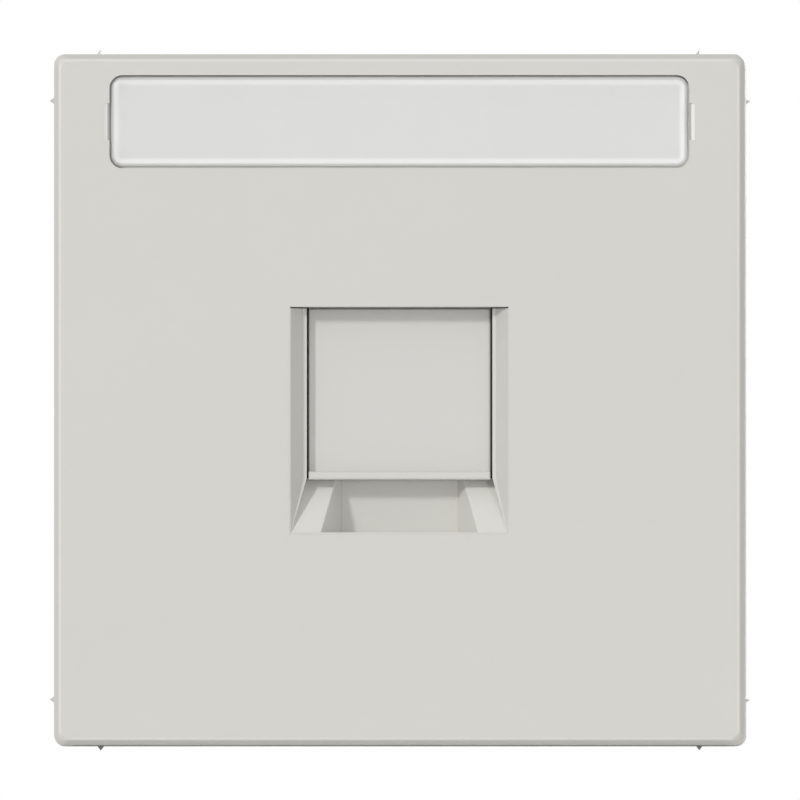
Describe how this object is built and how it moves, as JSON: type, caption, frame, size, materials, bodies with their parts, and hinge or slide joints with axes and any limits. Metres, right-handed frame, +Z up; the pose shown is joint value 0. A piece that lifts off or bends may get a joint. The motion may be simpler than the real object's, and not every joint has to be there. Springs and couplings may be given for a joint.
{
  "type": "wall plate",
  "caption": "Square moulded wall plate for a data outlet, with a clear label window over a card and a sprung sliding dust shutter in a recessed opening.",
  "frame": {"origin": "centre of the rear rim of the plate's skirt, in the rim's plane", "axes": "+X to the right as seen from the front, +Y back towards the wall, +Z up with the label field at the top; the front face looks to -Y"},
  "size_m": [0.0708, 0.011, 0.0708],
  "materials": {
    "plate_plastic": "light grey moulded plastic, fine satin",
    "shutter_plastic": "light grey moulded plastic, fine satin",
    "window_plastic": "clear with a milky tint, smooth",
    "card": "blank, matt",
    "retainer_plastic": "black moulded plastic, satin",
    "spring_steel": "drawn spring wire",
    "screw_steel": "zinc plated"
  },
  "bodies": {
    "plate": {"cover_plate": "plate_plastic", "label_card": "card", "shutter_spring_left": "spring_steel", "shutter_spring_right": "spring_steel", "shutter_retainer": "retainer_plastic", "retainer_screws": "screw_steel"},
    "shutter": {"dust_shutter": "shutter_plastic"},
    "window": {"label_window": "window_plastic"}
  },
  "joints": [
    {"name": "shutter_lift", "type": "slide", "parent": "plate", "child": "shutter", "axis": [0, 0, 1], "range_m": [0, 0.015], "stiffness_N_per_m": 220, "springref_m": -0.002, "deforming": ["shutter_spring_left", "shutter_spring_right"]},
    {"name": "window_pull", "type": "slide", "parent": "plate", "child": "window", "axis": [0, -1, 0], "range_m": [0, 0.012]}
  ]
}
